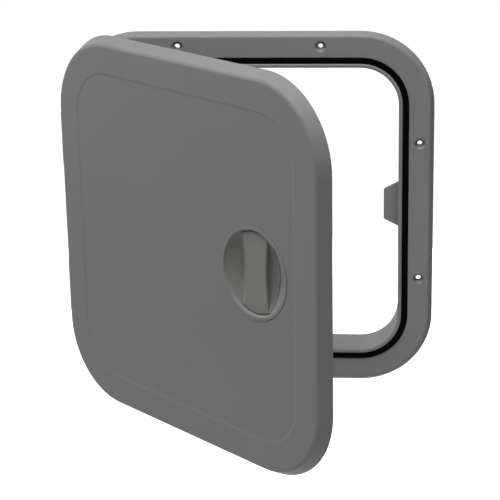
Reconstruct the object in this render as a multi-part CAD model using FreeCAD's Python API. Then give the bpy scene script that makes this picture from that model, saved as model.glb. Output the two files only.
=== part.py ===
"""Hinged access hatch with a twist latch, in millimetres.

X is right, Z is up and the hatch faces -Y. The origin is the middle of the flange's back face.
The lid and the latch are drawn with the lid shut and then swung open to the rest pose.
"""

import FreeCAD
import Part

import math
import os

from FreeCAD import Vector

# Frame: flange, bevel and collar
frame_width = 375.0
frame_height = 375.0
frame_corner_radius = 75.0
flange_thickness = 9.0
flange_edge_height = 3.0
flange_bevel_width = 4.2
flange_round = 3.0
collar_depth = 35.0
collar_wall = 4.1

# Frame: seal groove and the lip inside it
seal_inset = 25.5
seal_width = 6.4
groove_depth = 4.0
seal_proud = 1.2
seal_crown_radius = 1.5
lip_height = 1.5
lip_round = 1.5

# Frame: screw holes
hole_spacing = 145.0
hole_inset = 14.5
hole_radius = 2.5
countersink_radius = 5.8
head_recess = 0.8
boss_radius = 6.5

# Frame: pockets moulded in the back of the flange
pocket_outer_inset = 5.0
pocket_inner_inset = 22.5
pocket_depth = 5.0
flange_rib = 2.5
flange_rib_spacing = 36.0
flange_rib_steps = (-3, -1, 0, 1, 3)

# Frame: keeper tab on the right wall of the collar
keeper_reach = 15.0
keeper_root = 47.0
keeper_tip = 32.0
keeper_thickness = 4.0
keeper_setback = 4.0
keeper_corner = 3.0

# Lid
lid_overhang = 8.0
lid_gap = 0.5
lid_depth = 13.0
lid_bevel_width = 7.0
lid_edge_round = 4.5
lid_wall = 3.5
lid_side_wall = 3.0
panel_inset = 35.0
panel_recess = 0.4
panel_slope = 2.5
seal_bead_width = 3.0
seal_bead_round = 1.0
seal_bead_gap = 0.1
lid_rib = 2.4
lid_rib_height = 6.5
lid_rib_spacing = 52.0
lid_rib_count = 5

# Hinge
hinge_end_inset = 107.5
hinge_inset = -2.0
hinge_height = 16.5
knuckle_radius = 4.0
lid_knuckle_length = 30.0
frame_knuckle_length = 12.0
knuckle_gap = 0.4
knuckle_clearance = 0.5
pin_radius = 1.5
pin_clearance = 0.05
pin_recess = 0.5
pin_chamfer = 0.3
hinge_root_width = 3.0
hinge_root_sink = 0.5
rest_opening = 43.5

# Latch: place, housing and what clamps it to the lid
latch_x = 104.0
latch_z = 5.0
bezel_lap = 2.0
bezel_proud = 0.2
bezel_outer_round = 0.15
bezel_mouth_round = 0.5
bezel_seat_depth = 1.4
bezel_clearance = 0.05
cup_outer_radius = 43.0
cup_wall = 2.4
cup_bottom_y = -3.0
cup_floor = 3.0
cup_clearance = 0.2
mouth_flare = 1.4
dish_depth = 12.3
dish_wall = 2.4
well_radius = 26.6
lid_collar_wall = 2.4
gasket_thickness = 0.6
plate_lap = 2.0
plate_thickness = 3.0
plate_chamfer = 0.75
screw_radius = 1.6
screw_boss_radius = 4.2
screw_engagement = 4.0
screw_head_radius = 3.2
screw_head_height = 2.2
screw_head_round = 0.7
screw_slot_width = 1.1
screw_slot_length = 3.8
screw_slot_depth = 1.1
screw_count = 4

# Latch: knob
knob_recess = 3.0
dish_gap = 0.4
hub_clearance = 0.6
knob_back_gap = 2.0
scoop_depth = 7.4
scoop_half_length = 35.0
scoop_foot_round = 5.5
scoop_foot_sink = 1.0
grip_waist = 28.8
grip_end = 35.0
grip_round = 1.6
core_depth = 8.0
core_width = 20.0
core_start = 11.0
core_end = 22.0
stop_circle_radius = 18.0
stop_radius = 2.0
stop_engagement = 1.8
stop_slot_depth = 2.0
stop_clearance = 0.3
latch_turn = 90.0

# Latch: spindle, bush and washers
spindle_radius = 6.0
spindle_head_side = 11.0
spindle_head_depth = 7.0
spindle_drive_side = 8.0
bush_wall = 2.5
bush_clearance = 0.05
bush_flange_radius = 11.0
bush_flange_thickness = 1.0
o_ring_radius = 0.7
o_ring_groove_depth = 1.35
o_ring_groove_width = 1.6
o_ring_y = -3.0
washer_outer_radius = 14.0
washer_bore_clearance = 0.4
thrust_washer_thickness = 0.8
spring_washer_thickness = 0.4
spring_washer_rise = 0.7
clip_thickness = 1.0
clip_groove_depth = 0.7
clip_width = 3.0
clip_opening = 60.0
clip_gap = 0.1

# Latch: cam
cam_gap = 0.3
cam_thickness = 3.5
cam_length = 41.0
cam_hub_radius = 10.0
cam_tip_radius = 7.0
cam_lead_in = 1.2
cam_washer_radius = 9.0
cam_washer_thickness = 1.5
bolt_radius = 3.0
bolt_engagement = 12.0
bolt_head_flats = 10.0
bolt_head_height = 4.0

# How far a cut reaches past the face that it opens
past = 1.0

# Places worked out from the sizes
half_width = frame_width / 2
half_height = frame_height / 2
flange_front = -flange_thickness
groove_floor = flange_front + groove_depth
seal_top = flange_front - seal_proud
lip_inset = seal_inset + seal_width
opening_inset = lip_inset + collar_wall
lip_top = flange_front - lip_height
lid_rim = flange_front - lid_gap
lid_front = lid_rim - lid_depth
lid_inside = lid_front + lid_wall
hinge_x = -half_width + hinge_inset
hinge_y = -hinge_height
hinge_offset = half_height - hinge_end_inset
front_reach = lid_front - lid_depth
keeper_back = keeper_setback + keeper_thickness
cup_floor_y = cup_bottom_y - cup_floor
plate_back = cup_bottom_y + plate_thickness
bezel_radius = cup_outer_radius + bezel_lap
bezel_front = lid_front - bezel_proud
bezel_back = lid_front + bezel_seat_depth - gasket_thickness
lid_collar_radius = cup_outer_radius + cup_clearance + lid_collar_wall
plate_radius = cup_outer_radius + plate_lap
dish_rim_radius = cup_outer_radius - cup_wall
well_outer_radius = well_radius + cup_wall
screw_circle_radius = (dish_rim_radius + well_outer_radius) / 2
dish_radius = (dish_rim_radius**2 + dish_depth**2) / (2 * dish_depth)
knob_front = bezel_front + knob_recess
dish_centre_y = knob_front + dish_depth - dish_radius
knob_back = cup_floor_y - knob_back_gap
bush_bore = spindle_radius + bush_clearance
bush_radius = spindle_radius + bush_wall
bush_end = plate_back + bush_flange_thickness
clip_y = bush_end + clip_gap
cam_y = keeper_back + cam_gap
cam_back = cam_y + cam_thickness

BACK = Vector(0, 1, 0)
UP = Vector(0, 0, 1)


def rounded_outline(half_x, half_z, radius, y):
    """A rounded rectangle about the Y axis, as a closed wire in the plane y."""
    bend = radius * (1 - math.sqrt(0.5))
    quarters = ((1, 1), (-1, 1), (-1, -1), (1, -1))
    edges = []
    for sx, sz in quarters:
        side = Vector(sx * half_x, y, sz * (half_z - radius))
        middle = Vector(sx * (half_x - bend), y, sz * (half_z - bend))
        end = Vector(sx * (half_x - radius), y, sz * half_z)
        arc = (side, middle, end) if sx * sz > 0 else (end, middle, side)
        if edges:
            edges.append(Part.makeLine(edges[-1].Vertexes[-1].Point, arc[0]))
        edges.append(Part.Arc(*arc).toShape())
    edges.append(Part.makeLine(edges[-1].Vertexes[-1].Point, edges[0].Vertexes[0].Point))
    return Part.Wire(edges)


def frame_outline(inset, y):
    """The frame's outline moved in by inset."""
    return rounded_outline(half_width - inset, half_height - inset, frame_corner_radius - inset, y)


def lid_outline(inset, y):
    """The lid's outline moved in by inset."""
    return frame_outline(inset - lid_overhang, y)


def slab(outline, inset, y_from, y_to):
    """A straight slab of an outline between two planes."""
    return Part.Face(outline(inset, y_from)).extrude(Vector(0, y_to - y_from, 0))


def band(outline, outer_inset, inner_inset, y_from, y_to):
    """A ring between two insets of an outline."""
    outer = slab(outline, outer_inset, y_from, y_to)
    return outer.cut(slab(outline, inner_inset, y_from, y_to))


def tapered(outline, inset_from, y_from, inset_to, y_to):
    """A slab with sloping sides between two insets of an outline."""
    return Part.makeLoft([outline(inset_from, y_from), outline(inset_to, y_to)], True, True)


def disc(radius, y_from, y_to, x=0.0, z=0.0):
    """A round piece along Y."""
    return Part.makeCylinder(radius, y_to - y_from, Vector(x, y_from, z), BACK)


def tube(outer, inner, y_from, y_to, x=0.0, z=0.0):
    """A round ring along Y."""
    return disc(outer, y_from, y_to, x, z).cut(disc(inner, y_from, y_to, x, z))


def ball(radius):
    """A ball about the centre of the latch's dish."""
    return Part.makeSphere(radius, Vector(0, dish_centre_y, 0))


def block(x_from, x_to, y_from, y_to, z_from, z_to):
    """A box between two corners."""
    size = (x_to - x_from, y_to - y_from, z_to - z_from)
    return Part.makeBox(*size, Vector(x_from, y_from, z_from))


def post(radius, z_from, z_to):
    """A round piece along the hinge line."""
    return Part.makeCylinder(radius, z_to - z_from, Vector(hinge_x, hinge_y, z_from), UP)


def prism(points, direction):
    """A polygon's face pushed along a direction."""
    return Part.Face(Part.makePolygon([*points, points[0]])).extrude(direction)


def edges_at(shape, y, tolerance=1e-4):
    """The edges of a shape that lie in the plane y."""
    found = []
    for edge in shape.Edges:
        box = edge.BoundBox
        if abs(box.YMin - y) < tolerance and abs(box.YMax - y) < tolerance:
            found.append(edge)
    return found


def at_latch(shape):
    """Moves a latch piece, drawn about the Y axis, to its place on the lid."""
    moved = shape.copy()
    moved.translate(Vector(latch_x, 0, latch_z))
    return moved


def opened(shape):
    """Swings a piece of the shut lid about the hinge pins to the rest pose."""
    moved = shape.copy()
    moved.rotate(Vector(hinge_x, hinge_y, 0), UP, -rest_opening)
    return moved


def hole_places():
    """The screw holes, two on each side of the flange."""
    across = hole_spacing / 2
    side_x = half_width - hole_inset
    side_z = half_height - hole_inset
    places = []
    for sign in (-1, 1):
        for step in (-across, across):
            places.append((step, sign * side_z))
            places.append((sign * side_x, step))
    return places


def hinge_spans():
    """Start and end along Z of each lid knuckle."""
    half = lid_knuckle_length / 2
    return [(sign * hinge_offset - half, sign * hinge_offset + half) for sign in (-1, 1)]


def frame_knuckle_spans():
    """Start and end along Z of the frame's knuckles, one each side of a lid knuckle."""
    spans = []
    for low, high in hinge_spans():
        spans.append((low - knuckle_gap - frame_knuckle_length, low - knuckle_gap))
        spans.append((high + knuckle_gap, high + knuckle_gap + frame_knuckle_length))
    return spans


def flange_pockets():
    """Pockets in the flange's back, with ribs and screw bosses left between them."""
    pockets = band(frame_outline, pocket_outer_inset, pocket_inner_inset, 0, -pocket_depth)
    keep = [disc(boss_radius, -pocket_depth, 0, x, z) for x, z in hole_places()]
    reach = max(half_width, half_height)
    half_rib = flange_rib / 2
    for step in flange_rib_steps:
        place = step * flange_rib_spacing
        keep.append(block(place - half_rib, place + half_rib, -pocket_depth, 0, -reach, reach))
        keep.append(block(-reach, reach, -pocket_depth, 0, place - half_rib, place + half_rib))
    diagonal = block(-2 * reach, 2 * reach, -pocket_depth, 0, -half_rib, half_rib)
    for angle in (45, -45):
        turned = diagonal.copy()
        turned.rotate(Vector(0, 0, 0), BACK, angle)
        keep.append(turned)
    return pockets.cut(keep)


def keeper_tab():
    """The tab on the collar's right wall that the cam turns behind."""
    wall = half_width - opening_inset
    tip = wall - keeper_reach
    root = wall + collar_wall / 2
    outline = (
        Vector(root, keeper_setback, latch_z - keeper_root / 2),
        Vector(wall, keeper_setback, latch_z - keeper_root / 2),
        Vector(tip, keeper_setback, latch_z - keeper_tip / 2),
        Vector(tip, keeper_setback, latch_z + keeper_tip / 2),
        Vector(wall, keeper_setback, latch_z + keeper_root / 2),
        Vector(root, keeper_setback, latch_z + keeper_root / 2),
    )
    tab = prism(outline, BACK * keeper_thickness)
    corners = []
    for edge in tab.Edges:
        along_y = abs(edge.BoundBox.YLength - keeper_thickness) < 1e-4
        if along_y and abs(edge.BoundBox.XMin - tip) < 1e-4:
            corners.append(edge)
    return tab.makeFillet(keeper_corner, corners)


def frame_knuckle(low, high):
    """A knuckle on the flange's left edge, with the web that carries it."""
    left = hinge_x - knuckle_radius
    right = hinge_x + knuckle_radius
    edge = -half_width
    rise = (flange_thickness - flange_edge_height) * hinge_root_width / flange_bevel_width
    root_y = hinge_root_sink - flange_edge_height - rise
    profile = (
        Vector(left, hinge_y, low),
        Vector(right, hinge_y, low),
        Vector(edge + hinge_root_width, root_y, low),
        Vector(edge + hinge_root_width, -flange_edge_height / 2, low),
        Vector(edge, -flange_edge_height / 2, low),
        Vector(edge, -flange_edge_height, low),
    )
    return prism(profile, UP * (high - low)).fuse(post(knuckle_radius, low, high))


def make_frame():
    """Flange, lip, collar, keeper tab and hinge knuckles, moulded as one."""
    body = slab(frame_outline, 0, 0, -flange_edge_height)
    bevel = tapered(frame_outline, 0, -flange_edge_height, flange_bevel_width, flange_front)
    bevel = bevel.makeFillet(flange_round, edges_at(bevel, flange_front))
    body = body.fuse(bevel).cut(flange_pockets())
    body = body.cut(slab(frame_outline, opening_inset, lip_top, collar_depth))
    body = body.cut(band(frame_outline, seal_inset, lip_inset, flange_front, groove_floor))
    collar = band(frame_outline, lip_inset, opening_inset, lip_top, collar_depth)
    collar = collar.makeFillet(lip_round, edges_at(collar, lip_top))
    body = body.fuse([collar, keeper_tab()])
    body = body.fuse([frame_knuckle(low, high) for low, high in frame_knuckle_spans()])
    sink = countersink_radius - hole_radius
    seat = flange_front + head_recess
    cuts = []
    for x, z in hole_places():
        cuts.append(disc(hole_radius, seat, past, x, z))
        cuts.append(disc(countersink_radius, flange_front - past, seat, x, z))
        cuts.append(Part.makeCone(countersink_radius, hole_radius, sink, Vector(x, seat, z), BACK))
    cuts.append(post(pin_radius, -half_height, half_height))
    return body.cut(cuts).removeSplitter()


def make_frame_seal():
    """Rubber band in the flange's groove, standing a little proud of it."""
    seal = band(frame_outline, seal_inset, lip_inset, groove_floor, seal_top)
    return seal.makeFillet(seal_crown_radius, edges_at(seal, seal_top))


def make_hinge_pin(low, high):
    """Steel pin through one hinge, its ends just inside the knuckles."""
    reach = knuckle_gap + frame_knuckle_length - pin_recess
    pin = post(pin_radius, low - reach, high + reach)
    ends = [edge for edge in pin.Edges if edge.BoundBox.ZLength < 1e-4]
    return pin.makeChamfer(pin_chamfer, ends)


def lid_shell():
    """The lid's outer form with a rounded front edge, hollowed from behind."""
    outer = tapered(lid_outline, 0, lid_rim, lid_bevel_width, lid_front)
    outer = outer.makeFillet(lid_edge_round, edges_at(outer, lid_front))
    slope = lid_bevel_width / lid_depth
    inner_top = lid_side_wall + slope * (lid_depth - lid_wall)
    hollow = tapered(lid_outline, lid_side_wall, lid_rim, inner_top, lid_inside)
    return outer, hollow


def lid_ribs():
    """Crossed ribs inside the lid, as far as the seal bead."""
    bead_inset = seal_inset + (seal_width + seal_bead_width) / 2
    reach_x = half_width - bead_inset
    reach_z = half_height - bead_inset
    half_rib = lid_rib / 2
    back = lid_inside + lid_rib_height
    ribs = []
    for i in range(lid_rib_count):
        place = (i - (lid_rib_count - 1) / 2) * lid_rib_spacing
        ribs.append(block(place - half_rib, place + half_rib, lid_inside, back, -reach_z, reach_z))
        ribs.append(block(-reach_x, reach_x, lid_inside, back, place - half_rib, place + half_rib))
    field = slab(frame_outline, bead_inset, lid_inside, back)
    return ribs[0].fuse(ribs[1:]).common(field)


def seal_bead():
    """Ring inside the lid that presses on the frame's seal."""
    middle = seal_inset + seal_width / 2
    half_bead = seal_bead_width / 2
    end = seal_top - seal_bead_gap
    bead = band(frame_outline, middle - half_bead, middle + half_bead, lid_inside, end)
    return bead.makeFillet(seal_bead_round, edges_at(bead, end))


def lid_hinge_cuts():
    """Notches in the lid's left rim that the frame's knuckles stand and turn in."""
    cuts = []
    room = knuckle_radius + knuckle_clearance
    outside = hinge_x - lid_overhang - knuckle_radius
    face_edge = -half_width - lid_overhang + lid_bevel_width
    for low, high in frame_knuckle_spans():
        low, high = low - knuckle_gap, high + knuckle_gap
        cuts.append(post(room, low, high))
        cuts.append(block(outside, hinge_x + room, hinge_y, 0, low, high))
        cuts.append(block(outside, face_edge, front_reach, hinge_y, low, high))
    return cuts


def make_lid_panel():
    """The cover: bevelled shell, shallow centre panel, ribs, seal bead, knuckles and latch hole."""
    outer, hollow = lid_shell()
    recess = tapered(lid_outline, panel_inset, lid_front, panel_inset + panel_slope, lid_front + panel_recess)
    ring = disc(lid_collar_radius, lid_inside, cup_bottom_y, latch_x, latch_z)
    body = outer.cut(hollow).cut(recess)
    body = body.fuse([lid_ribs(), seal_bead(), ring])
    body = body.cut(lid_hinge_cuts())
    for low, high in hinge_spans():
        pad = block(hinge_x, hinge_x + knuckle_radius, lid_inside, hinge_y, low, high)
        body = body.fuse([post(knuckle_radius, low, high), pad])
    hole = disc(cup_outer_radius + cup_clearance, front_reach, past, latch_x, latch_z)
    seat_floor = lid_front + bezel_seat_depth
    seat = disc(bezel_radius + bezel_clearance, front_reach, seat_floor, latch_x, latch_z)
    bore = post(pin_radius + pin_clearance, -half_height, half_height)
    return body.cut([hole, seat, bore]).removeSplitter()


def screw_places():
    """The clamp screws on their circle, about the latch's axis."""
    turns = [math.radians(45 + 360 * i / screw_count) for i in range(screw_count)]
    return [(screw_circle_radius * math.cos(t), screw_circle_radius * math.sin(t)) for t in turns]


def stop_place(turn, radius=stop_circle_radius, y=0.0):
    """A point of the knob's stop after a turn, which starts on the left and goes over the top."""
    angle = math.radians(180 - turn)
    return Vector(radius * math.cos(angle), y, radius * math.sin(angle))


def stop_slot():
    """Arc-shaped slot in the cup's floor that limits the knob to its turn."""
    room = stop_radius + stop_clearance
    outer = stop_circle_radius + room
    inner = stop_circle_radius - room
    y = cup_floor_y
    cap = math.degrees(room / stop_circle_radius)
    half_turn = latch_turn / 2
    edges = [
        Part.Arc(stop_place(0, outer, y), stop_place(half_turn, outer, y), stop_place(latch_turn, outer, y)),
        Part.Arc(
            stop_place(latch_turn, outer, y),
            stop_place(latch_turn + cap, stop_circle_radius, y),
            stop_place(latch_turn, inner, y),
        ),
        Part.Arc(stop_place(latch_turn, inner, y), stop_place(half_turn, inner, y), stop_place(0, inner, y)),
        Part.Arc(
            stop_place(0, inner, y),
            stop_place(-cap, stop_circle_radius, y),
            stop_place(0, outer, y),
        ),
    ]
    outline = Part.Wire([edge.toShape() for edge in edges])
    return Part.Face(outline).extrude(BACK * stop_slot_depth)


def make_latch_housing():
    """Cup with a thin raised bezel, a flared mouth, a dish, a well for the knob's hub, and bosses."""
    mouth_radius = dish_rim_radius + mouth_flare
    mouth = Part.makeCone(mouth_radius, dish_rim_radius, knob_recess, Vector(0, bezel_front, 0), BACK)
    bezel = disc(bezel_radius, bezel_front, bezel_back)
    bezel = bezel.makeFillet(bezel_outer_round, edges_at(bezel, bezel_front)).cut(mouth)
    mouth_edge = min(edges_at(bezel, bezel_front), key=lambda edge: edge.BoundBox.XLength)
    bezel = bezel.makeFillet(bezel_mouth_round, [mouth_edge])
    body = bezel.fuse(disc(cup_outer_radius, lid_front, cup_bottom_y).cut(mouth))
    hollow = tube(dish_rim_radius, well_outer_radius, knob_front, cup_bottom_y)
    bosses = [disc(screw_boss_radius, knob_front, cup_bottom_y, x, z) for x, z in screw_places()]
    body = body.cut(hollow.cut([ball(dish_radius + dish_wall), *bosses]))
    dish = ball(dish_radius).common(disc(cup_outer_radius, knob_front, cup_bottom_y))
    body = body.cut([dish, disc(well_radius, knob_front, cup_floor_y)])
    tip = cup_bottom_y - screw_engagement
    cuts = [disc(screw_radius, tip, cup_bottom_y, x, z) for x, z in screw_places()]
    cuts += [disc(bush_radius, cup_floor_y, cup_bottom_y), stop_slot()]
    return body.cut(cuts).removeSplitter()


def make_housing_gasket():
    """Flat ring between the bezel and the lid."""
    return tube(bezel_radius, cup_outer_radius, bezel_back, bezel_back + gasket_thickness)


def make_backing_plate():
    """Round plate behind the lid that the clamp screws pull against it."""
    plate = disc(plate_radius, cup_bottom_y, plate_back)
    plate = plate.makeChamfer(plate_chamfer, edges_at(plate, plate_back))
    holes = [disc(screw_radius, cup_bottom_y, plate_back, x, z) for x, z in screw_places()]
    return plate.cut(holes).cut(disc(bush_radius, cup_bottom_y, plate_back))


def make_backing_screw(x, z):
    """Pan-head screw from the plate into the cup's floor."""
    shank = disc(screw_radius, cup_bottom_y - screw_engagement, plate_back, x, z)
    head_end = plate_back + screw_head_height
    head = disc(screw_head_radius, plate_back, head_end, x, z)
    head = head.makeFillet(screw_head_round, edges_at(head, head_end))
    arm = screw_slot_width / 2
    reach = screw_slot_length / 2
    deep = head_end - screw_slot_depth
    slots = [
        block(x - reach, x + reach, deep, head_end, z - arm, z + arm),
        block(x - arm, x + arm, deep, head_end, z - reach, z + reach),
    ]
    return shank.fuse(head).cut(slots)


def make_spindle_bush():
    """Flanged sleeve in the cup's floor and the plate, in which the spindle turns."""
    sleeve = disc(bush_radius, cup_floor_y, bush_end)
    flange = disc(bush_flange_radius, plate_back, bush_end)
    return sleeve.fuse(flange).cut(disc(bush_bore, cup_floor_y, bush_end))


def scoop(side):
    """One finger scoop beside the grip bar, on the side given by the sign.

    Its section is turned about a far axis, which gives the bar its waist, a rounded edge and a
    rounded foot. A trough that lies across it makes the floor rise to the front at both ends.
    """
    sagitta = (grip_end - grip_waist) / 2
    side_radius = (scoop_half_length**2 + sagitta**2) / (2 * sagitta)
    flank = grip_waist / 2
    axis_x = flank + side_radius
    floor = knob_front + scoop_depth + scoop_foot_sink
    bend = math.sqrt(0.5)
    edge_start = Vector(flank - grip_round, knob_front, 0)
    edge_middle = Vector(flank - grip_round * (1 - bend), knob_front + grip_round * (1 - bend), 0)
    edge_end = Vector(flank, knob_front + grip_round, 0)
    foot_start = Vector(flank, floor - scoop_foot_round, 0)
    foot_middle = Vector(flank + scoop_foot_round * (1 - bend), floor - scoop_foot_round * (1 - bend), 0)
    foot_end = Vector(flank + scoop_foot_round, floor, 0)
    outer = (Vector(axis_x, floor, 0), Vector(axis_x, front_reach, 0), Vector(edge_start.x, front_reach, 0))
    section = [
        Part.Arc(edge_start, edge_middle, edge_end).toShape(),
        Part.makeLine(edge_end, foot_start),
        Part.Arc(foot_start, foot_middle, foot_end).toShape(),
        Part.makePolygon([foot_end, *outer, edge_start]),
    ]
    turned = Part.Face(Part.Wire(section)).revolve(outer[0], BACK, 360)
    floor_radius = (scoop_half_length**2 + scoop_depth**2) / (2 * scoop_depth)
    trough_start = Vector(0, knob_front + scoop_depth - floor_radius, 0)
    trough = Part.makeCylinder(floor_radius, bezel_radius, trough_start, Vector(1, 0, 0))
    tool = turned.common(trough)
    if side < 0:
        tool.rotate(Vector(0, 0, 0), BACK, 180)
    return tool


def make_knob():
    """Round knob that fills the dish: a waisted grip bar between two scoops, on a cored hub."""
    plug = ball(dish_radius - dish_gap).common(disc(bezel_radius, knob_front, knob_back))
    knob = plug.fuse(disc(well_radius - hub_clearance, knob_front + scoop_depth, knob_back))
    knob = knob.cut([scoop(-1), scoop(1)])
    half = core_width / 2
    top = knob_back - core_depth
    for sign in (-1, 1):
        z_from, z_to = sorted((sign * core_start, sign * core_end))
        knob = knob.cut(block(-half, half, top, knob_back, z_from, z_to))
    side = spindle_head_side / 2
    socket = block(-side, side, knob_back - spindle_head_depth, knob_back, -side, side)
    place = stop_place(0)
    stop = disc(stop_radius, knob_back, cup_floor_y + stop_engagement, place.x, place.z)
    return knob.cut(socket).fuse(stop).removeSplitter()


def make_spindle():
    """Turned spindle: square head in the knob, round bearing, square drive for the cam."""
    head = spindle_head_side / 2
    drive = spindle_drive_side / 2
    drive_end = cam_back - cam_gap
    body = block(-head, head, knob_back - spindle_head_depth, knob_back, -head, head)
    body = body.fuse(disc(spindle_radius, knob_back, cam_y))
    body = body.fuse(block(-drive, drive, cam_y, drive_end, -drive, drive))
    half_groove = o_ring_groove_width / 2
    seal_floor = spindle_radius - o_ring_groove_depth
    clip_floor = spindle_radius - clip_groove_depth
    cuts = [
        tube(spindle_radius, seal_floor, o_ring_y - half_groove, o_ring_y + half_groove),
        tube(spindle_radius, clip_floor, clip_y, clip_y + clip_thickness),
        disc(bolt_radius, cam_back - bolt_engagement, drive_end),
    ]
    return body.cut(cuts)


def make_o_ring():
    """O-ring in the spindle's front groove."""
    ring_radius = spindle_radius - o_ring_groove_depth + o_ring_radius
    return Part.makeTorus(ring_radius, o_ring_radius, Vector(0, o_ring_y, 0), BACK)


def make_thrust_washer():
    """Flat washer on the cup's floor."""
    bore = spindle_radius + washer_bore_clearance
    top = cup_floor_y - thrust_washer_thickness
    return tube(washer_outer_radius, bore, top, cup_floor_y)


def make_spring_washer():
    """Conical spring washer between the thrust washer and the knob."""
    bore = spindle_radius + washer_bore_clearance
    low = cup_floor_y - thrust_washer_thickness
    thick = spring_washer_thickness
    profile = (
        Vector(bore, low - spring_washer_rise, 0),
        Vector(washer_outer_radius, low, 0),
        Vector(washer_outer_radius, low - thick, 0),
        Vector(bore, low - spring_washer_rise - thick, 0),
    )
    face = Part.Face(Part.makePolygon([*profile, profile[0]]))
    return face.revolve(Vector(0, 0, 0), BACK, 360)


def make_retaining_clip():
    """Open clip in the spindle's rear groove."""
    inner = spindle_radius - clip_groove_depth
    outer = inner + clip_width
    ring = tube(outer, inner, clip_y, clip_y + clip_thickness)
    wedge = Part.makeCylinder(outer, clip_thickness, Vector(0, clip_y, 0), BACK, clip_opening)
    return ring.cut(wedge)


def make_cam():
    """Flat lever with a rounded tip, bevelled where it first meets the keeper tab."""
    hub = disc(cam_hub_radius, cam_y, cam_back)
    tip_z = cam_length - cam_tip_radius
    tip = disc(cam_tip_radius, cam_y, cam_back, 0, tip_z)
    lean = math.asin((cam_hub_radius - cam_tip_radius) / tip_z)
    out = math.cos(lean)
    rise = math.sin(lean)
    corners = (
        Vector(cam_hub_radius * out, cam_y, cam_hub_radius * rise),
        Vector(cam_tip_radius * out, cam_y, tip_z + cam_tip_radius * rise),
        Vector(-cam_tip_radius * out, cam_y, tip_z + cam_tip_radius * rise),
        Vector(-cam_hub_radius * out, cam_y, cam_hub_radius * rise),
    )
    lever = prism(corners, BACK * cam_thickness).fuse([hub, tip]).removeSplitter()
    leading = []
    for edge in edges_at(lever, cam_y):
        if edge.BoundBox.ZMax > cam_hub_radius + 1e-4:
            leading.append(edge)
    lever = lever.makeChamfer(cam_lead_in, leading)
    drive = spindle_drive_side / 2
    return lever.cut(block(-drive, drive, cam_y, cam_back, -drive, drive))


def make_cam_washer():
    """Washer between the cam and its bolt."""
    return tube(cam_washer_radius, bolt_radius, cam_back, cam_back + cam_washer_thickness)


def make_cam_bolt():
    """Hexagon bolt in the end of the spindle."""
    start = cam_back + cam_washer_thickness
    corner = bolt_head_flats / math.sqrt(3)
    turns = [math.radians(60 * i) for i in range(6)]
    hexagon = [Vector(corner * math.cos(t), start, corner * math.sin(t)) for t in turns]
    head = prism(hexagon, BACK * bolt_head_height)
    shank = disc(bolt_radius, cam_back - bolt_engagement, start)
    return head.fuse(shank)


def make_parts():
    """Every piece in its place at rest, by name."""
    parts = {"frame": make_frame(), "frame_seal": make_frame_seal()}
    for name, (low, high) in zip(("lower", "upper"), hinge_spans()):
        parts[f"hinge_pin_{name}"] = make_hinge_pin(low, high)
    parts["lid_panel"] = opened(make_lid_panel())
    on_latch = {
        "latch_housing": make_latch_housing(),
        "housing_gasket": make_housing_gasket(),
        "latch_backing_plate": make_backing_plate(),
        "spindle_bush": make_spindle_bush(),
        "knob": make_knob(),
        "spindle": make_spindle(),
        "spindle_o_ring": make_o_ring(),
        "thrust_washer": make_thrust_washer(),
        "spring_washer": make_spring_washer(),
        "retaining_clip": make_retaining_clip(),
        "cam": make_cam(),
        "cam_washer": make_cam_washer(),
        "cam_bolt": make_cam_bolt(),
    }
    for number, (x, z) in enumerate(screw_places(), start=1):
        on_latch[f"backing_screw_{number}"] = make_backing_screw(x, z)
    for name, shape in on_latch.items():
        parts[name] = opened(at_latch(shape))
    return parts


os.makedirs("parts", exist_ok=True)
for name, shape in make_parts().items():
    shape.exportStep(f"parts/{name}.step")
    print(f"{name}: {len(shape.Solids)} solid, {shape.Volume / 1000:.2f} cm3, valid {shape.isValid()}")
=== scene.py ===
"""Studio view of a hinged access hatch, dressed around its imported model."""

import math

import bpy
from mathutils import Matrix, Vector

# Camera: picture and focal length in pixels, sensor in mm, angles in degrees, then metres
VIEW_SIZE = 500
FOCAL_PIXELS = 1766.74
SENSOR = 36.0
YAW = 5.11
PITCH = 18.09
ROLL = -1.13
AIM_RIGHT = 0.00236
AIM_UP = 0.04295
DISTANCE = 1.84141

# Lamps: name, place, width and height in metres, watts
LAMP_AIM = (0.0, -0.1, 0.0)
LAMPS = (
    ("overhead_left", (-0.8, -1.0, 2.2), 0.7, 0.7, 33.0),
    ("overhead_right", (0.4, -0.7, 2.2), 0.7, 0.7, 9.0),
    ("overhead_near", (0.2, -0.7, 1.3), 0.7, 0.7, 10.0),
    ("overhead_close", (0.1, -0.25, 0.95), 0.4, 0.4, 3.6),
    ("left_fill", (-2.4, 0.5, 0.6), 1.8, 1.8, 39.0),
    ("low_bounce", (0.1, -0.5, -0.85), 1.2, 1.2, 6.5),
    ("back_fill", (0.9, 2.5, -0.5), 1.8, 0.7, 50.0),
)

# World and floor: both are seen as white, and the floor is dimmer under the hatch, out to
# SHADOW_REACH, from where its glow rises to full at SHADOW_END
WHITE = (1.0, 1.0, 1.0, 1.0)
WORLD_LEVEL = 0.0
SEEN_LEVEL = 1.0
FLOOR_SIZE = 12.0
FLOOR_HEIGHT = -0.9
FLOOR_GREY = 0.5
FLOOR_ROUGHNESS = 0.9
SHADOW_REACH = 0.6
SHADOW_END = 1.2
SHADOW_GLOW = 0.6

# Colours of the pieces
FRAME_GREY = (0.174, 0.174, 0.173)
# The lid is the frame's plastic, made a shade darker as painted shade over the whole lid
LID_SHADED_GREY = (0.161, 0.161, 0.161)
LATCH_GREY = (0.168, 0.169, 0.162)
SEAL_BLACK = (0.0017, 0.0017, 0.0016)
ACETAL_WHITE = (0.75, 0.74, 0.70)
STEEL_GREY = (0.55, 0.55, 0.54)

# The latch's axis, and the radii between which the painted shade line round the knob's rim sets
# in; it stands in for the shadow in the joint with the housing
LATCH_CENTRE = (0.03476, -0.20656, 0.005)
LATCH_AXIS = (0.688355, 0.725374, 0.0)
RIM_SHADE_START = 0.0390
RIM_SHADE_FULL = 0.0394
RIM_PAINTED_SHADE = 0.15

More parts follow.
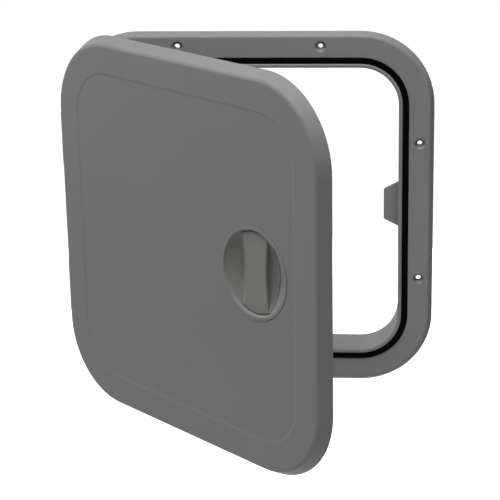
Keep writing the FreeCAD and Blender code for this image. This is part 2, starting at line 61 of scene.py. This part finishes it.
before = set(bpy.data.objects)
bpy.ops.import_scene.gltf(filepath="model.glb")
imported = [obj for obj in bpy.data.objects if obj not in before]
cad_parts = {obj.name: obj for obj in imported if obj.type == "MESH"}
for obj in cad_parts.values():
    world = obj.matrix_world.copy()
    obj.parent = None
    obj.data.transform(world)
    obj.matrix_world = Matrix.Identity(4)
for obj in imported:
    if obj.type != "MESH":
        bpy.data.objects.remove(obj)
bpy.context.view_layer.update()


class Nodes:
    """Short hand for building a node tree."""

    def __init__(self, tree):
        self.tree = tree

    def add(self, kind, **values):
        node = self.tree.nodes.new(kind)
        for key, value in values.items():
            setattr(node, key, value)
        return node

    def link(self, source, target):
        self.tree.links.new(source, target)

    def combine(self, operation, first, second):
        node = self.add("ShaderNodeMath", operation=operation)
        self.link(first, node.inputs[0])
        self.link(second, node.inputs[1])
        return node.outputs[0]

    def vector(self, operation, source, constant=None):
        node = self.add("ShaderNodeVectorMath", operation=operation)
        self.link(source, node.inputs[0])
        if constant is not None:
            node.inputs[1].default_value = constant
        return node.outputs["Value" if operation == "LENGTH" else "Vector"]

    def ramp(self, source, from_range=(0.0, 1.0), to_range=(0.0, 1.0), smooth=False):
        """Maps one range of values to another, and holds its ends beyond them."""
        node = self.add("ShaderNodeMapRange")
        if smooth:
            node.interpolation_type = "SMOOTHSTEP"
        self.link(source, node.inputs["Value"])
        node.inputs["From Min"].default_value, node.inputs["From Max"].default_value = from_range
        node.inputs["To Min"].default_value, node.inputs["To Max"].default_value = to_range
        return node.outputs["Result"]

    def in_sight(self):
        """A socket that is 1 for camera, glossy and transmission rays and 0 for all others."""
        path = self.add("ShaderNodeLightPath").outputs
        seen = self.combine("MAXIMUM", path["Is Camera Ray"], path["Is Glossy Ray"])
        return self.combine("MAXIMUM", seen, path["Is Transmission Ray"])


class Surface(Nodes):
    """A new material, whose patterns are fixed to the piece that it is put on."""

    def __init__(self, name):
        self.material = bpy.data.materials.new(name)
        self.material.use_nodes = True
        super().__init__(self.material.node_tree)
        self.shader = self.tree.nodes["Principled BSDF"]
        self.place = self.add("ShaderNodeTexCoord").outputs["Object"]

    def constant(self, name, value):
        self.shader.inputs[name].default_value = value

    def noise(self, scale, detail=2.0, roughness=0.5):
        """Noise with scale in features a metre."""
        node = self.add("ShaderNodeTexNoise")
        self.link(self.place, node.inputs["Vector"])
        node.inputs["Scale"].default_value = scale
        node.inputs["Detail"].default_value = detail
        node.inputs["Roughness"].default_value = roughness
        return node.outputs["Fac"]

    def colour(self, source, colour, darkest, lightest=1.0):
        """Sets the base colour, between two shades of a colour, by a 0 to 1 value."""
        node = self.add("ShaderNodeMix", data_type="RGBA")
        self.link(source, node.inputs["Factor"])
        node.inputs["A"].default_value = (*(darkest * c for c in colour), 1)
        node.inputs["B"].default_value = (*(lightest * c for c in colour), 1)
        self.link(node.outputs["Result"], self.shader.inputs["Base Color"])

    def roughness(self, source, low, high):
        self.link(self.ramp(source, to_range=(low, high)), self.shader.inputs["Roughness"])

    def bump(self, source, strength, distance):
        node = self.add("ShaderNodeBump")
        self.link(source, node.inputs["Height"])
        node.inputs["Strength"].default_value = strength
        node.inputs["Distance"].default_value = distance
        self.link(node.outputs["Normal"], self.shader.inputs["Normal"])

    def paint_knob_rim_shade(self):
        """Paints a dark line of shade on the knob's rim, standing in for the shadow in the joint
        with the housing.
        """
        # Painted shade: the colour is multiplied darker in a thin band at the knob's outer
        # radius
        offset = self.vector("SUBTRACT", self.place, LATCH_CENTRE)
        radius = self.vector("LENGTH", self.vector("CROSS_PRODUCT", offset, LATCH_AXIS))
        rim = self.ramp(radius, from_range=(RIM_SHADE_START, RIM_SHADE_FULL), smooth=True)
        base = self.shader.inputs["Base Color"]
        shade = self.add("ShaderNodeMix", data_type="RGBA", blend_type="MULTIPLY")
        self.link(rim, shade.inputs["Factor"])
        self.link(base.links[0].from_socket, shade.inputs["A"])
        shade.inputs["B"].default_value = (RIM_PAINTED_SHADE, RIM_PAINTED_SHADE, RIM_PAINTED_SHADE, 1)
        self.link(shade.outputs["Result"], base)


def moulded_plastic(name, colour):
    """Satin moulded plastic: faint flow shading and the fine grain of the mould."""
    surface = Surface(name)
    flow = surface.noise(scale=9.0, detail=3.0)
    grain = surface.noise(scale=1500.0, roughness=0.6)
    surface.colour(flow, colour, darkest=0.965, lightest=1.035)
    surface.roughness(grain, low=0.45, high=0.57)
    surface.bump(grain, strength=0.12, distance=0.0002)
    surface.constant("Specular IOR Level", 0.08)
    return surface


def rubber(name, colour):
    """Matt black rubber with a dusty, slightly uneven skin."""
    surface = Surface(name)
    skin = surface.noise(scale=420.0, detail=3.0)
    surface.colour(skin, colour, darkest=0.8, lightest=1.35)
    surface.roughness(skin, low=0.6, high=0.75)
    surface.bump(skin, strength=0.2, distance=0.0002)
    surface.constant("Specular IOR Level", 0.01)
    return surface


def steel(name, colour):
    """Turned stainless steel with fine machining marks."""
    surface = Surface(name)
    marks = surface.noise(scale=2600.0, detail=3.0, roughness=0.7)
    surface.colour(marks, colour, darkest=0.9)
    surface.roughness(marks, low=0.24, high=0.4)
    surface.bump(marks, strength=0.15, distance=0.0001)
    surface.constant("Metallic", 1.0)
    return surface


def acetal(name, colour):
    """Natural acetal: smooth, waxy and faintly cloudy."""
    surface = Surface(name)
    cloud = surface.noise(scale=160.0)
    surface.colour(cloud, colour, darkest=0.94)
    surface.roughness(cloud, low=0.3, high=0.4)
    return surface


def dress(surface, *names):
    """Gives CAD nodes their material."""
    for name in names:
        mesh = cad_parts[name].data
        mesh.materials.clear()
        mesh.materials.append(surface.material)


def dress_hatch():
    """Dresses every piece of the hatch."""
    dress(moulded_plastic("frame_plastic", FRAME_GREY), "frame")
    # The lid's plastic is darker than the frame's by painted shade
    dress(moulded_plastic("lid_plastic", LID_SHADED_GREY), "lid_panel")
    dress(moulded_plastic("latch_plastic", LATCH_GREY), "latch_housing", "latch_backing_plate")
    knob_plastic = moulded_plastic("knob_plastic", LATCH_GREY)
    # The knob's rim gets a painted shadow line where it meets the housing
    knob_plastic.paint_knob_rim_shade()
    dress(knob_plastic, "knob")
    dress(rubber("seal_rubber", SEAL_BLACK), "frame_seal", "housing_gasket", "spindle_o_ring")
    dress(acetal("acetal", ACETAL_WHITE), "spindle_bush", "thrust_washer")
    stainless_steel = steel("stainless_steel", STEEL_GREY)
    dress(stainless_steel, "hinge_pin_lower", "hinge_pin_upper", "spindle", "spring_washer")
    dress(stainless_steel, "retaining_clip", "cam", "cam_washer", "cam_bolt")
    dress(stainless_steel, *(f"backing_screw_{number}" for number in range(1, 5)))


def photo_camera():
    """Places the camera that sees the hatch from the photograph's angle."""
    yaw, pitch, roll = (math.radians(angle) for angle in (YAW, PITCH, ROLL))
    right = Vector((math.cos(yaw), math.sin(yaw), 0))
    level = math.cos(pitch)
    ahead = Vector((-math.sin(yaw) * level, math.cos(yaw) * level, -math.sin(pitch)))
    up = right.cross(ahead)
    right, up = (
        math.cos(roll) * right + math.sin(roll) * up,
        math.cos(roll) * up - math.sin(roll) * right,
    )
    place = -(AIM_RIGHT * right + AIM_UP * up + DISTANCE * ahead)
    turn = Matrix((right, up, -ahead)).transposed().to_4x4()
    data = bpy.data.cameras.new("camera")
    data.sensor_width = SENSOR
    data.lens = FOCAL_PIXELS / VIEW_SIZE * SENSOR
    camera = bpy.data.objects.new("camera", data)
    camera.matrix_world = Matrix.Translation(place) @ turn
    bpy.context.scene.collection.objects.link(camera)
    bpy.context.scene.camera = camera


def make_world():
    """A world that is seen as white and gives light only at its own level."""
    world = bpy.data.worlds.new("studio")
    world.use_nodes = True
    nodes = Nodes(world.node_tree)
    lit = nodes.tree.nodes["Background"]
    seen = nodes.add("ShaderNodeBackground")
    for background, level in ((lit, WORLD_LEVEL), (seen, SEEN_LEVEL)):
        background.inputs["Color"].default_value = WHITE
        background.inputs["Strength"].default_value = level
    mix = nodes.add("ShaderNodeMixShader")
    nodes.link(nodes.in_sight(), mix.inputs["Fac"])
    nodes.link(lit.outputs["Background"], mix.inputs[1])
    nodes.link(seen.outputs["Background"], mix.inputs[2])
    nodes.link(mix.outputs["Shader"], nodes.tree.nodes["World Output"].inputs["Surface"])
    bpy.context.scene.world = world


def make_floor():
    """A floor that is seen as white, with the hatch's shadow left in sight under it."""
    bpy.ops.mesh.primitive_plane_add(size=FLOOR_SIZE, location=(0, 0, FLOOR_HEIGHT))
    floor = bpy.context.object
    floor.name = "floor"
    paint = Surface("floor_paint")
    paint.constant("Base Color", (FLOOR_GREY, FLOOR_GREY, FLOOR_GREY, 1))
    paint.constant("Roughness", FLOOR_ROUGHNESS)
    reach = paint.vector("LENGTH", paint.place)
    rise = paint.ramp(reach, (SHADOW_REACH, SHADOW_END), (SHADOW_GLOW, SEEN_LEVEL))
    glow = paint.add("ShaderNodeEmission")
    glow.inputs["Color"].default_value = WHITE
    paint.link(paint.combine("MULTIPLY", rise, paint.in_sight()), glow.inputs["Strength"])
    both = paint.add("ShaderNodeAddShader")
    paint.link(paint.shader.outputs["BSDF"], both.inputs[0])
    paint.link(glow.outputs["Emission"], both.inputs[1])
    paint.link(both.outputs["Shader"], paint.tree.nodes["Material Output"].inputs["Surface"])
    floor.data.materials.append(paint.material)


def make_lamps():
    """Soft lamps, all aimed at the hatch."""
    for name, place, width, height, watts in LAMPS:
        data = bpy.data.lights.new(name, "AREA")
        data.shape = "RECTANGLE"
        data.size = width
        data.size_y = height
        data.energy = watts
        lamp = bpy.data.objects.new(name, data)
        lamp.location = place
        beam = Vector(LAMP_AIM) - Vector(place)
        lamp.rotation_euler = beam.to_track_quat("-Z", "Y").to_euler()
        bpy.context.scene.collection.objects.link(lamp)


photo_camera()
make_world()
make_floor()
make_lamps()
dress_hatch()

bpy.context.scene.view_settings.view_transform = "Standard"
